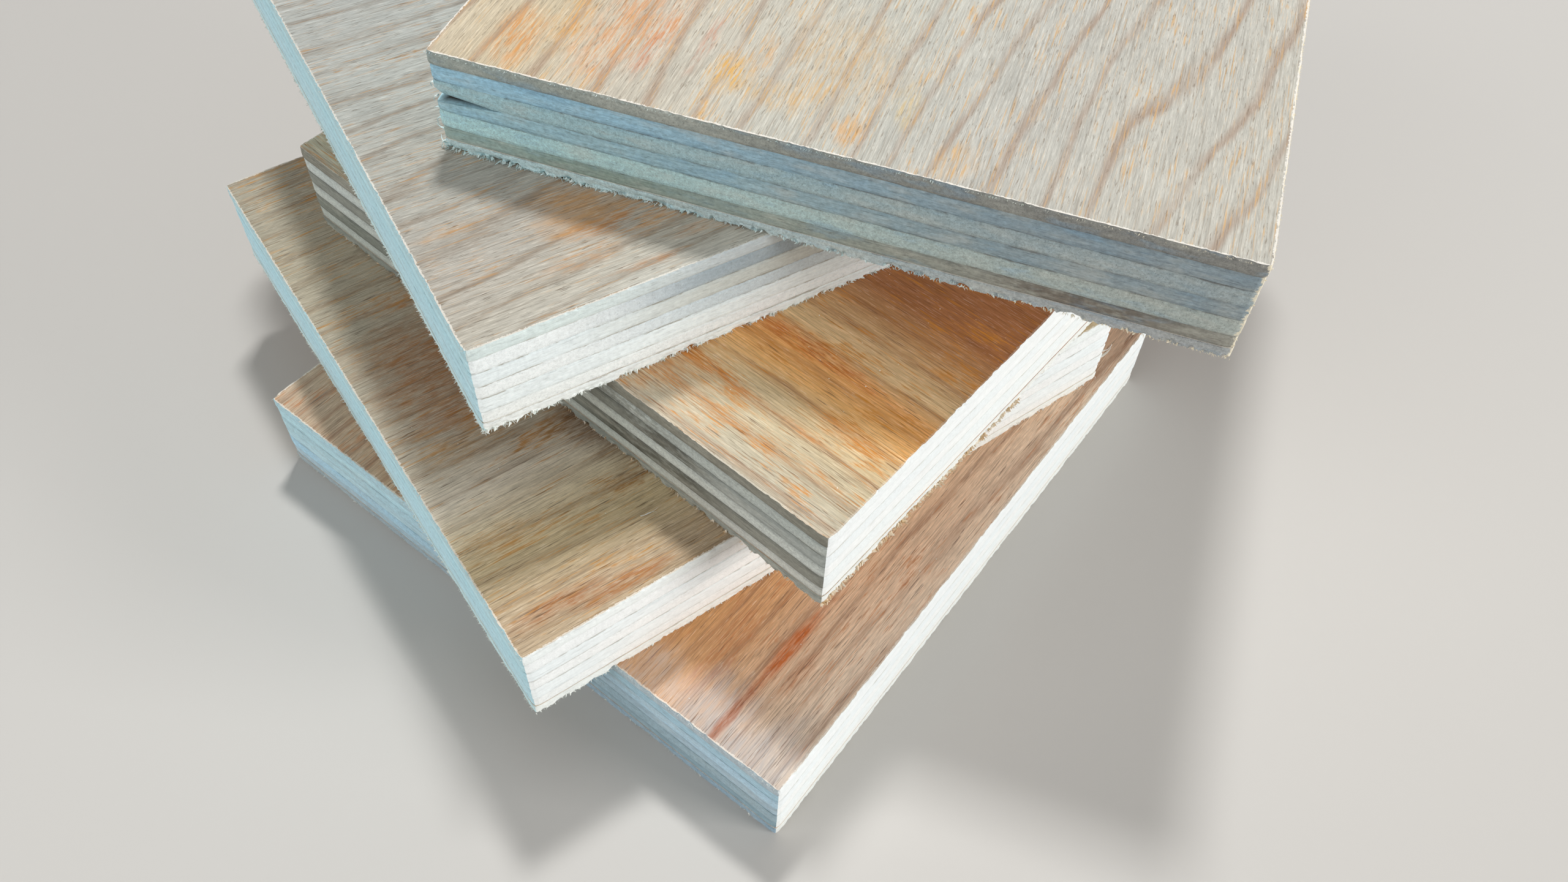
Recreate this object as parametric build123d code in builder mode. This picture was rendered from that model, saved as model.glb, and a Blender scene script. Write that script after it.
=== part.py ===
"""A stack of square plywood off-cuts, lying flat and each turned against the one below.

Every off-cut is a seven-ply board: veneers glued face to face, with the grain of each
at right angles to its neighbours'. Each ply is a piece of its own, so the stack is taken
apart ply by ply, and the plies touch at their glue lines.

The origin is the centre of the lowest face, on which the stack rests. +Z points up through
the stack, and the sides of the bottom sheet are square to X and Y.
"""

from build123d import *

import os
from dataclasses import dataclass

# Thickness of each ply, in millimetres, from the underside of a sheet to its face.
BACK_VENEER = 1.7
LOWER_CROSSBAND = 2.0
LOWER_LONG_PLY = 2.6
MIDDLE_CROSSBAND = 2.2
UPPER_LONG_PLY = 2.4
UPPER_CROSSBAND = 2.4
FACE_VENEER = 1.9

# Sawn size of each sheet, in millimetres: its length runs along X before it is turned.
BOTTOM_LENGTH = 98.5
BOTTOM_WIDTH = 101.0
FOURTH_LENGTH = 99.5
FOURTH_WIDTH = 100.0
THIRD_LENGTH = 100.5
THIRD_WIDTH = 100.0
SECOND_LENGTH = 100.0
SECOND_WIDTH = 100.0
TOP_LENGTH = 100.0
TOP_WIDTH = 100.0

# Where the centre of each sheet lies from the centre of the bottom one, in millimetres.
FOURTH_SHIFT_X = -14.5
FOURTH_SHIFT_Y = 0.5
THIRD_SHIFT_X = -5.5
THIRD_SHIFT_Y = 19.0
SECOND_SHIFT_X = -27.0
SECOND_SHIFT_Y = 17.5
TOP_SHIFT_X = 5.0
TOP_SHIFT_Y = 38.0

# How far each sheet is turned from the bottom one, in degrees, clockwise seen from above.
FOURTH_TURN = 17.0
THIRD_TURN = 3.0
SECOND_TURN = 22.0
TOP_TURN = 71.5

# The gap in the top sheet's middle crossband, where a veneer ends short of the corner.
VOID_LENGTH = 10.0
VOID_HEIGHT = 1.0
VOID_DEPTH = 12.0


@dataclass(frozen=True)
class Ply:
    """One veneer of the board, known by its place in the lay-up."""

    name: str
    thickness: float


@dataclass(frozen=True)
class Sheet:
    """One off-cut: its sawn size, where its centre lies and how far it is turned."""

    name: str
    length: float
    width: float
    shift_x: float = 0.0
    shift_y: float = 0.0
    turn: float = 0.0

    def plane(self, height):
        """Return the level plane at this height, centred on the sheet and square to it."""
        along = Vector(1, 0, 0).rotate(Axis.Z, -self.turn)
        return Plane(origin=(self.shift_x, self.shift_y, height), x_dir=along, z_dir=(0, 0, 1))


# The lay-up of every sheet, from its underside up.
LAY_UP = [
    Ply("back_veneer", BACK_VENEER),
    Ply("lower_crossband", LOWER_CROSSBAND),
    Ply("lower_long_ply", LOWER_LONG_PLY),
    Ply("middle_crossband", MIDDLE_CROSSBAND),
    Ply("upper_long_ply", UPPER_LONG_PLY),
    Ply("upper_crossband", UPPER_CROSSBAND),
    Ply("face_veneer", FACE_VENEER),
]

# The sheets, from the one on the floor up.
TOP_SHEET = Sheet("top_sheet", TOP_LENGTH, TOP_WIDTH, TOP_SHIFT_X, TOP_SHIFT_Y, TOP_TURN)
STACK = [
    Sheet("bottom_sheet", BOTTOM_LENGTH, BOTTOM_WIDTH),
    Sheet("fourth_sheet", FOURTH_LENGTH, FOURTH_WIDTH, FOURTH_SHIFT_X, FOURTH_SHIFT_Y, FOURTH_TURN),
    Sheet("third_sheet", THIRD_LENGTH, THIRD_WIDTH, THIRD_SHIFT_X, THIRD_SHIFT_Y, THIRD_TURN),
    Sheet("second_sheet", SECOND_LENGTH, SECOND_WIDTH, SECOND_SHIFT_X, SECOND_SHIFT_Y, SECOND_TURN),
    TOP_SHEET,
]


def has_void(sheet, ply):
    """Tell whether the core void is in this ply of this sheet."""
    return sheet is TOP_SHEET and ply.name == "middle_crossband"


def void_plane(sheet, height):
    """Return the plane of the void's mouth: the sawn edge, seen from its upper left corner."""
    level = sheet.plane(height)
    corner = level.from_local_coords((sheet.length / 2, -sheet.width / 2, 0))
    return Plane(origin=corner, x_dir=level.y_dir, z_dir=level.x_dir)


def make_ply(sheet, ply, height):
    """Build one ply of a sheet.

    Args:
        sheet: the off-cut that the ply belongs to.
        ply: the veneer's place and thickness.
        height: how high the ply's underside lies above the floor.

    Returns:
        The ply as a labelled solid.
    """
    with BuildPart() as veneer:
        with BuildSketch(sheet.plane(height)):
            Rectangle(sheet.length, sheet.width)
        extrude(amount=ply.thickness)
        if has_void(sheet, ply):
            with BuildSketch(void_plane(sheet, height + ply.thickness)):
                with BuildLine():
                    Polyline((0, 0), (VOID_LENGTH, 0), (0, -VOID_HEIGHT), close=True)
                make_face()
            extrude(amount=-VOID_DEPTH, mode=Mode.SUBTRACT)
    veneer.part.label = f"{sheet.name}_{ply.name}"
    return veneer.part


def make_stack():
    """Lay the sheets on each other from the floor up and return all their plies."""
    plies = []
    height = 0.0
    for sheet in STACK:
        for ply in LAY_UP:
            plies.append(make_ply(sheet, ply, height))
            height += ply.thickness
    return plies


os.makedirs("parts", exist_ok=True)
for piece in make_stack():
    export_step(piece, f"parts/{piece.label}.step")
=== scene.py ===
"""Looks for a fanned stack of square plywood off-cuts, in a plain pale studio.

Every ply of the fixed frame is replaced by a sawn veneer with an uneven edge, and each
sheet gets its torn fibres. The veneers are procedural: growth bands, pores, amber zones
and dark glue lines, at their real size in millimetres.
"""

import logging
import math
import random
from dataclasses import dataclass, field
from enum import Enum
from typing import Any

import bmesh
import bpy
from bmesh.types import BMEdge, BMesh, BMFace, BMVert
from mathutils import Matrix, Vector, noise


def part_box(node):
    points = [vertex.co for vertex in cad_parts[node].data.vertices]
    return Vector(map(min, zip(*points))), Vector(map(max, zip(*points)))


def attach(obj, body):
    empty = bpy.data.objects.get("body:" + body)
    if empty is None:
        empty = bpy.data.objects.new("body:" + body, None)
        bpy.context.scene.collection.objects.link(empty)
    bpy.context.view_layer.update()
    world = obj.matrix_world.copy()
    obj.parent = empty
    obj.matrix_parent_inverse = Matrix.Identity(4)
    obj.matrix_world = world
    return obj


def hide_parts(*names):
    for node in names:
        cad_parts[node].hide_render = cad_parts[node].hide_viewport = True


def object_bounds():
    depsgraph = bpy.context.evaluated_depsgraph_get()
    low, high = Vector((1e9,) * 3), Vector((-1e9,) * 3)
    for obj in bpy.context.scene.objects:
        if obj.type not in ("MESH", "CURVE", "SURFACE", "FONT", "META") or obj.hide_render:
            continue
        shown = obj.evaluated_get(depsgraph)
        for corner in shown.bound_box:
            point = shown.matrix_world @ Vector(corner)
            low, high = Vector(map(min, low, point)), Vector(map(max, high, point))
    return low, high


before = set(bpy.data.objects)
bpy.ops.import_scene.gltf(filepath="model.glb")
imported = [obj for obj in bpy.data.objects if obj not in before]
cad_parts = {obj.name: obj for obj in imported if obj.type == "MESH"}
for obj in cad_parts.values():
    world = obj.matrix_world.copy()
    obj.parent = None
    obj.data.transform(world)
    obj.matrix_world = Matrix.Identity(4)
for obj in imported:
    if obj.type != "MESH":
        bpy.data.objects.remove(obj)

CAD_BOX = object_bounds()
LOG = logging.getLogger("plywood_stack")

MM = 0.001
TOUCHING_MM = 0.001
BODY = "root"
WOOD_IOR = 1.5
WHITE = "#FFFFFF"

# The plies from the face down, each with how far its sawn edge lies back, in millimetres.
LAY_UP = {"face_veneer": 0.03, "upper_crossband": 0.10, "upper_long_ply": 0.07, "middle_crossband": 0.08,
          "lower_long_ply": 0.05, "lower_crossband": 0.12, "back_veneer": 0.03}
OUTER_PITCH_MM = 0.45
INNER_PITCH_MM = 0.9

# The core void at the top sheet's front left corner, and the broken lip of the ply over it.
VOID_NODE = "top_sheet_middle_crossband"
VOID_LIP_NODE = "top_sheet_upper_long_ply"
VOID_LIP_MM = 8.0
VOID_LIP_DEPTH_MM = 0.75
VOID_LIP_SHARE = 0.45

# The photograph's frame and the camera that fits its edges, in pixels, millimetres and degrees.
IMAGE_WIDTH_PX = 2560
FOCAL_LENGTH_PX = 2055.5
AXIS_ABOVE_CENTRE_PX = 120
CAMERA_PLACE_MM = (81.0, -99.1, 169.5)
CAMERA_HEADING = 125.35
CAMERA_DIP = 50.67
CAMERA_ROLL = 3.0
SENSOR_WIDTH_MM = 36.0
NEAREST_M = 0.005

Step = tuple[float, float]
Colour = tuple[float, float, float, float]


class Grain(Enum):
    """Which way a veneer's fibres run: along its sheet's X or along its Y."""

    ALONG_X = "x"
    ALONG_Y = "y"

    def crossed(self) -> "Grain":
        """Return the grain at right angles to this one."""
        return Grain.ALONG_Y if self is Grain.ALONG_X else Grain.ALONG_X

    def spread(self, along: float, across: float) -> tuple[float, float, float]:
        """Return a pattern's scale on the three axes from its scale along and across the grain."""
        return (along, across, across) if self is Grain.ALONG_X else (across, along, across)


class Side(Enum):
    """A sawn side of a sheet, by the outward direction in the sheet's own axes."""

    RIGHT = (1, 0)
    LEFT = (0, -1)
    FAR_LEFT = (-1, 0)
    FAR_RIGHT = (0, 1)


class Level(Enum):
    """Which arris of a sheet: the one round its face or the one round its underside."""

    FACE = "face"
    UNDERSIDE = "underside"


def linear(hex_colour: str) -> Colour:
    """Turn an sRGB hex colour into the linear values that a shader takes.

    Args:
        hex_colour: six hex digits after a hash sign.

    Returns:
        Red, green, blue and an alpha of one.
    """
    parts = [int(hex_colour[i:i + 2], 16) / 255 for i in (1, 3, 5)]
    red, green, blue = [p / 12.92 if p <= 0.04045 else ((p + 0.055) / 1.055) ** 2.4 for p in parts]
    return (red, green, blue, 1.0)


def hash_shift(name: str) -> float:
    """Return a shift in pattern units that is the same on each run for a name."""
    return sum(ord(letter) * (place + 3) for place, letter in enumerate(name)) % 97 + 0.37


def put(name: str, data: bpy.types.ID) -> bpy.types.Object:
    """Put an object with this data into the scene, at the origin."""
    made = bpy.data.objects.new(name, data)
    bpy.context.scene.collection.objects.link(made)
    return made


def stand(mesh: BMesh, name: str) -> bpy.types.Object:
    """Make an object of a finished mesh, which is freed.

    Args:
        mesh: the mesh, in the scene's own place and size.
        name: what the object and its mesh are called.

    Returns:
        The object: at the origin, unturned and unscaled.
    """
    data = bpy.data.meshes.new(name)
    mesh.to_mesh(data)
    mesh.free()
    return put(name, data)


def rise(edge: BMEdge) -> float:
    """Return how far one end of an edge lies above the other."""
    return abs(edge.verts[0].co.z - edge.verts[1].co.z)


def facing(heading: Vector) -> Matrix:
    """Return the turn that points Z along a heading."""
    return heading.to_track_quat("Z", "Y").to_matrix().to_4x4()


@dataclass(frozen=True)
class Pattern:
    """A noise: its scale per millimetre, the shift that sets it apart, its detail and roughness.

    The scale is given along and across the grain, or on the sheet's three axes. A shared
    pattern runs on from ply to ply, and any other is each ply's own. Where it has ends, it
    fades in between these two values.
    """

    scale: tuple[float, ...]
    shift: float = 0.0
    detail: float = 3.0
    roughness: float = 0.6
    shared: bool = False
    ends: Step | None = None


def streak(width_mm: float, length_mm: float, shift: float = 0.0, ends: Step | None = None) -> Pattern:
    """Return the pattern of streaks that are this wide, and this long along the grain."""
    return Pattern((1 / length_mm, 1 / width_mm), shift, ends=ends)


class Shader:
    """A material's node tree, with short calls for sums and mixes.

    A value is a number or a socket, and a colour is a socket or an sRGB hex colour.
    """

    def __init__(self, name: str) -> None:
        """Start an empty material of this name."""
        self.material = bpy.data.materials.new(name)
        self.material.use_nodes = True
        self.tree = self.material.node_tree
        self.tree.nodes.clear()

    def add(self, kind: str, inputs: dict[Any, Any] | None = None, **settings: Any) -> Any:
        """Add one shader node with its settings and links.

        Args:
            kind: the node's type name, after ShaderNode.
            inputs: values or sockets, by the input's name or number.
            settings: properties set on the node itself.

        Returns:
            The new node.
        """
        made = self.tree.nodes.new(f"ShaderNode{kind}")
        for name, value in settings.items():
            setattr(made, name, value)
        for name, value in (inputs or {}).items():
            if isinstance(value, bpy.types.NodeSocket):
                self.tree.links.new(value, made.inputs[name])
            else:
                made.inputs[name].default_value = value
        return made

    def coat(self, inputs: dict[str, Any]) -> bpy.types.Material:
        """Close the material with one principled surface of these inputs, and return it."""
        self.add("OutputMaterial", {"Surface": self.add("BsdfPrincipled", inputs).outputs[0]})
        return self.material

    def math(self, operation: str, *values: Any, clamp: bool = False) -> Any:
        """Return the result of a Math node on these values."""
        return self.add("Math", dict(enumerate(values)), operation=operation, use_clamp=clamp).outputs[0]

    def times(self, product: Any, *factors: Any) -> Any:
        """Return the product of these values."""
        for factor in factors:
            product = self.math("MULTIPLY", product, factor)
        return product

    def affine(self, value: Any, gain: Any, offset: Any) -> Any:
        """Return a value times a gain, plus an offset."""
        return self.math("MULTIPLY_ADD", value, gain, offset)

    def minus(self, first: Any, second: Any) -> Any:
        """Return the first value less the second."""
        return self.math("SUBTRACT", first, second)

    def step(self, value: Any, ends: Step) -> Any:
        """Return 0 at the first end, 1 at the second and a smooth step between, either way round."""
        low, high = sorted(ends)
        begin, finish = (0.0, 1.0) if ends[0] < ends[1] else (1.0, 0.0)
        made = self.add("MapRange", {"Value": value, "From Min": low, "From Max": high, "To Min": begin,
                                     "To Max": finish}, interpolation_type="SMOOTHSTEP")
        return made.outputs[0]

    def over(self, colour: Any, coat: Any, *amounts: Any) -> Any:
        """Lay a coat over a colour, as far as the product of these amounts goes."""
        below, above = (linear(part) if isinstance(part, str) else part for part in (colour, coat))
        return self.add("Mix", {0: self.times(*amounts), 6: below, 7: above}, data_type="RGBA").outputs[2]

    def swing(self, *parts: tuple[Any, float]) -> Any:
        """Return a brightness around one, from noises that each count by their own gain."""
        total: Any = 1.0 - 0.5 * sum(gain for _, gain in parts)
        for value, gain in parts:
            total = self.affine(value, gain, total)
        return total

    def tone(self, colour: Any, brightness: Any) -> Any:
        """Return a colour made lighter or darker without changing its hue."""
        return self.add("HueSaturation", {"Color": colour, "Value": brightness}).outputs[0]

    def ramp(self, value: Any, stops: tuple[tuple[float, str], ...]) -> Any:
        """Return a colour ramp through these stops, each a position and an sRGB hex colour."""
        made = self.add("ValToRGB", {"Fac": value})
        elements = made.color_ramp.elements
        while len(elements) < len(stops):
            elements.new(0.5)
        for element, (position, colour) in zip(elements, stops):
            element.position = position
            element.color = linear(colour)
        return made.outputs["Color"]


@dataclass(frozen=True)
class Stain:
    """A dark patch in one ply of a sawn side, from start to end as shares of the side."""

    order: int
    start: float
    end: float
    colour: str
    strength: float = 0.75


@dataclass(frozen=True)
class CutLook:
    """How one sawn side of a sheet looks: the tones of its seven plies, from the face down.

    The tones hold at the side's left end, and the far tones, where there are any, at its right.
    """

    tones: tuple[str, ...]
    far_tones: tuple[str, ...] = ()
    fade: tuple[float, float] = (-0.05, 0.92)
    glue: str = "#5A5348"
    glue_strength: float = 0.6
    streaks: float = 0.35
    # A tint laid in broad patches on the sides along X, blue by default: a painted blue cast of shade.
    tint: str = "#8CC6EE"
    tint_strength: float = 0.0
    soaked: float = 0.04
    stains: tuple[Stain, ...] = ()


@dataclass(frozen=True)
class Patch:
    """A coloured patch on a face: its middle and reach in the sheet's own millimetres.

    It shows as flecks along the fibres, and as an even tint as far as it is solid.
    """

    x: float
    y: float
    reach_x: float
    reach_y: float
    colour: str
    strength: float = 0.7
    solid: float = 0.0


@dataclass(frozen=True)
class FaceLook:
    """How a rotary-cut face veneer looks: its zones across the grain, bands, pores and amber."""

    zones: tuple[tuple[float, str], ...]
    band: str
    amber: str
    pore: str = "#6E5638"
    pore_length_mm: float = 1.7
    hairlines: float = 0.5
    spacing_mm: float = 7.5
    slant: float = 0.0
    wander_mm: float = 2.2
    band_start: float = 0.5
    band_strength: float = 0.6
    amber_share: float = 0.3
    streaks: float = 0.5
    patches: tuple[Patch, ...] = ()


@dataclass(frozen=True)
class Fringe:
    """Torn fibres along a stretch of an arris: where they stand, how many and how long."""

    side: Side
    level: Level
    start: float
    end: float
    per_mm: float
    length_mm: tuple[float, float]
    radius_mm: float = 0.05
    drop: float = 0.3


@dataclass(frozen=True)
class Sliver:
    """One long splinter that curls away from the wood, in the sheet's own millimetres.

    The root's third number is the height above the sheet's underside.
    """

    root: tuple[float, float, float]
    heading: tuple[float, float, float]
    length_mm: float
    radius_mm: float = 0.11
    bend: float = 120.0
    axis: tuple[float, float, float] = (0.0, 0.0, 1.0)


@dataclass(frozen=True)
class Crumbs:
    """Saw dust lying on a face, scattered between two corners in the sheet's own millimetres."""

    low: tuple[float, float]
    high: tuple[float, float]
    count: int
    largest_mm: float = 0.16


# The sides that face the side lamp: pale wood lifted to near white, a painted highlight of that lamp.
PALE_LIT_CUT = CutLook(("#F3F8F6", "#F8FBFA", "#F4FAFA", "#F9FBF9", "#F5FAF9", "#F9FBF8", "#F5F8F3"),
                   glue="#9A9484", streaks=0.2, glue_strength=0.5)
WHITE_LIT_CUT = CutLook(("#F2F6F5", "#F5F8F7", "#F1F6F6", "#F6F8F6", "#F2F7F6", "#F5F7F4", "#F1F3EE"),
                    glue="#C4BEAE", streaks=0.12, glue_strength=0.45)
# Near white at the left end, a painted highlight of the side lamp; the far tones, bluish grey in the upper plies, are
# a painted shadow of the top sheet.
SHADED_CUT = CutLook(("#DFECEA", "#F5FBFB", "#EFF8F9", "#F7FCFB", "#F1F9F9", "#F8FCF9", "#F5F9F6"),
                     far_tones=("#C8D1D3", "#A9B8C0", "#CFD6D2", "#D2E0E6", "#EFFAFC", "#F5FDFE", "#F1FAFA"),
                     fade=(0.08, 0.34), glue="#8B8069", streaks=0.3, glue_strength=0.65)
# The sides that face away from the side lamp: pale wood with a painted blue cast of shade.
COOL_SHADE_CUT = CutLook(("#BEE2EA", "#C9EFF8", "#C3ECF7", "#C6EDF8", "#C8EEF9", "#C6EAF4", "#D4F2F6"),
                   glue="#6F929B", streaks=0.4, glue_strength=0.5, soaked=0.08)
LOW_SHADE_CUT = CutLook(("#BCE2EE", "#C4EAF4", "#BEE2EC", "#C6E8F2", "#BDE6FA", "#C2DCE8", "#B8C6CA"),
                  far_tones=("#BCCBD3", "#B4D6E6", "#BFDDEE", "#B5CEDC", "#A9C2CD", "#9DB9C5", "#A6C1D2"),
                  glue="#6F8C98", streaks=0.45, glue_strength=0.5, soaked=0.10)
# The top sheet's front: its plies painted blue-grey, a painted blue cast of shade, with a blue tint in patches; the
# stains are its own.
FRONT_SHADE_CUT = CutLook(("#A3ADA7", "#A6D4EA", "#ABD2DB", "#A9D2DF", "#C0EAEE", "#A6C0BA", "#D0F2F8"),
                    far_tones=("#8F8F8A", "#90A0A8", "#A4B2B5", "#94A3A9", "#B2BCB7", "#97958B", "#B2B6B6"),
                    glue="#5C5145", streaks=0.6, glue_strength=0.5, tint_strength=0.2, soaked=0.09,
                    stains=(Stain(5, 0.73, 0.90, "#6E6256"), Stain(5, 0.10, 0.30, "#8FA79C", 0.6)))
STRIPED_CUT = CutLook(("#8F8E82", "#CCD5D1", "#92968E", "#CED6D0", "#888E85", "#C8D1CA", "#999F96"),
                      far_tones=("#87867A", "#BCC4BF", "#A9AFAA", "#CED4CE", "#93948A", "#CDD0C9", "#A4A79E"),
                      fade=(0.62, 0.86), glue="#55544B", streaks=0.55, glue_strength=0.4, soaked=0.2,
                      stains=(Stain(4, 0.60, 0.80, "#57564B", 0.85), Stain(2, 0.66, 0.79, "#5E5D52", 0.85),
                              Stain(0, 0.44, 0.56, "#5C5548", 0.8), Stain(1, 0.60, 0.74, "#7B7C72", 0.7)))
FAR_CUT = CutLook(("#D8D2C0", "#E9E6D8", "#DDD9C9", "#EAE7DA", "#E0DCCC", "#E8E5D8", "#DFDBCC"),
                  glue="#8A7C64", streaks=0.3, glue_strength=0.6)


@dataclass
class Sheet:
    """One off-cut: its turn and looks, with its size and place read from the fixed frame."""

    name: str
    turn: float
    face_grain: Grain
    face: FaceLook
    right: CutLook
    left: CutLook
    fringes: tuple[Fringe, ...] = ()
    tear_mm: float = 0.35
    # How strongly the face's arris is whitened: frayed fibres with a painted highlight.
    arris: float = 0.6
    fibre_tones: tuple[str, str] = ("#DCD3C0", "#F2EEE6")
    far_fibre_tone: str = "#F2EEE6"
    corner_fray: float = 0.0
    slivers: tuple[Sliver, ...] = ()
    crumbs: Crumbs | None = None
    centre: Vector = field(init=False)
    length_mm: float = field(init=False)
    width_mm: float = field(init=False)
    bottom_mm: float = field(init=False)
    top_mm: float = field(init=False)

    def __post_init__(self) -> None:
        """Read the sheet's centre, sawn size and heights from its lowest and highest ply."""
        low_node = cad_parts[f"{self.name}_back_veneer"]
        high_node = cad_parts[f"{self.name}_face_veneer"]
        away = Matrix.Rotation(math.radians(self.turn), 3, "Z")
        corners = [away @ vertex.co for vertex in low_node.data.vertices]
        low = Vector(min(corner[axis] for corner in corners) for axis in range(3))
        high = Vector(max(corner[axis] for corner in corners) for axis in range(3))
        self.centre = away.inverted() @ ((low + high) / 2)
        self.centre.z = 0.0
        self.length_mm = (high.x - low.x) / MM
        self.width_mm = (high.y - low.y) / MM
        self.bottom_mm = low.z / MM
        self.top_mm = max(vertex.co.z for vertex in high_node.data.vertices) / MM

    def to_world(self) -> Matrix:
        """Return the matrix from the sheet's own millimetres to the scene."""
        turned = Matrix.Rotation(math.radians(-self.turn), 4, "Z")
        return Matrix.Translation(self.centre) @ turned @ Matrix.Scale(MM, 4)


class SheetShader(Shader):
    """A material that is measured in one sheet's own millimetres, from the sheet's centre."""

    def __init__(self, name: str, sheet: Sheet, grain: Grain = Grain.ALONG_X, seed: float = 0.0) -> None:
        """Start the material, and find the shaded point in the sheet.

        Args:
            name: the material's name.
            sheet: the sheet that the material belongs to.
            grain: which way the fibres run.
            seed: a shift that keeps plies apart.
        """
        super().__init__(name)
        self.sheet, self.grain, self.seed = sheet, grain, seed
        coordinates = self.add("TexCoord").outputs
        self.normal = coordinates["Normal"]
        self.place = self.mapped(coordinates["Object"], tuple(sheet.centre), (MM, MM, MM), -sheet.turn)
        self.axes = self.add("SeparateXYZ", {0: self.place}).outputs

    def mapped(self, place: Any, middle: tuple[float, ...], reach: tuple[float, ...], turn: float = 0.0) -> Any:
        """Return a place as seen from a middle, in units of a reach on each axis."""
        made = self.add("Mapping", {"Vector": place, "Location": middle, "Scale": reach,
                                    "Rotation": (0.0, 0.0, math.radians(turn))}, vector_type="TEXTURE")
        return made.outputs[0]

    def noise(self, pattern: Pattern) -> Any:
        """Return a noise from 0 to 1 in this pattern, of one feature a unit."""
        scale = pattern.scale if len(pattern.scale) == 3 else self.grain.spread(*pattern.scale)
        shift = pattern.shift if pattern.shared else pattern.shift + self.seed
        moved = self.add("Mapping", {"Vector": self.place, "Scale": scale,
                                     "Location": (shift, shift * 0.7, shift * 0.3)})
        made = self.add("TexNoise", {"Vector": moved.outputs[0], "Scale": 1.0, "Detail": pattern.detail,
                                     "Roughness": pattern.roughness}).outputs["Fac"]
        return self.step(made, pattern.ends) if pattern.ends else made


@dataclass(frozen=True)
class VeneerFinish:
    """Rotary-cut hardwood veneer, dried, pressed and sawn: dull, fibrous, with open pores.

    The knife leaves long fibres on the face, and the saw leaves them cut short or torn on
    the edge, so the streaks run along the grain on the face and on the long-grain edge, and
    show as dots on the end-grain edge. Wood is a dull dielectric with an index near 1.5.
    Each step is the pair of values between which its pattern fades in.
    """

    roughness: float = 0.82
    relief_mm: float = 0.10
    relief_strength: float = 0.5
    pore_relief: float = -0.8
    fibre_relief: float = 0.7
    saw_marks: Pattern = Pattern((2.2, 2.2, 0.12), roughness=0.5)
    fibres: Pattern = streak(0.30, 6.0)
    fine_fibres: Pattern = streak(0.13, 1.7, 3.0)
    pore_mm: float = 0.19
    pore_shift: float = 11.0
    pore_step: Step = (0.60, 0.69)

    # The sawn sides: torn end grain, dry broad patches, patches of painted blue cast of shade, the corner that the saw
    # frayed, and painted shade in the void.
    torn: Pattern = Pattern((1.3, 1.3, 2.0), 7.0, 5.0, 0.75, True)
    broad: Pattern = Pattern((0.13, 0.13, 0.5), 13.0, shared=True)
    dry_colour: str = "#BDBDB2"
    dry_step: Step = (0.46, 0.70)
    tint_step: Step = (0.48, 0.30)
    pore_darkness: float = -0.45
    fray: Pattern = Pattern((0.9, 0.9, 0.9), 3.0, 4.0, 0.75, True)
    fray_mm: float = 2.5
    fray_step: Step = (0.55, 0.85)
    stain_step: Step = (0.32, 0.58)
    # Painted shade, dark brown, inside the core void and on the inner plies' hidden faces.
    void_shade_colour: str = "#3A2C1F"
    void_shade_step: Step = (0.4, 1.6)

    # Cured glue: a broken dark line, and the margin that it has soaked.
    glue_line_mm: float = 0.16
    glue_waver: Pattern = Pattern((0.5, 0.5, 0.1), roughness=0.7)
    glue_step: Step = (-0.05, 0.07)
    glue_spots: Pattern = Pattern((0.22, 0.22, 0.9), 4.0, 4.0, 0.75, ends=(0.45, 0.60))
    soak_step: Step = (0.75, 0.05)

    # The flat face: growth rings, blotches, amber flecks and lines, hairlines and frayed arris with a painted
    # highlight.
    flat_step: Step = (0.75, 0.95)
    ring_sweep: Pattern = Pattern((0.016, 0.06), 0.0, 2.0, 0.5)
    ring_jitter: Pattern = Pattern((0.10, 0.45), 1.0)
    jitter_mm: float = 1.6
    late_rise: float = 0.62
    late_fall: float = 0.12
    uneven: Pattern = Pattern((0.045, 0.13), 5.0, ends=(0.36, 0.62))
    blotches: Pattern = Pattern((0.07, 0.2), 23.0, 5.0, 0.7)
    blotch_step: Step = (0.40, 0.56)
    flecks: Pattern = Pattern((0.33, 3.0), 31.0, 3.0, 0.65, ends=(0.42, 0.60))
    least_fleck: float = 0.15
    amber_strength: float = 0.8
    amber_start: float = 0.76
    amber_lines: Pattern = streak(0.28, 5.5, 41.0, (0.54, 0.66))
    patch_raggedness: float = 2.2
    patch_step: Step = (1.25, 0.25)
    pale_fibre: str = "#F4EEE2"
    pale_step: Step = (0.56, 0.74)
    pale_strength: float = 0.4
    hairlines: Pattern = streak(0.17, 15.0, 53.0, (0.53, 0.63))
    arris_mm: float = 0.38
    arris_fray: Pattern = Pattern((2.4, 2.4, 2.4), roughness=0.7, shared=True)
    arris_highlight_colour: str = "#F3EEE4"


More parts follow.
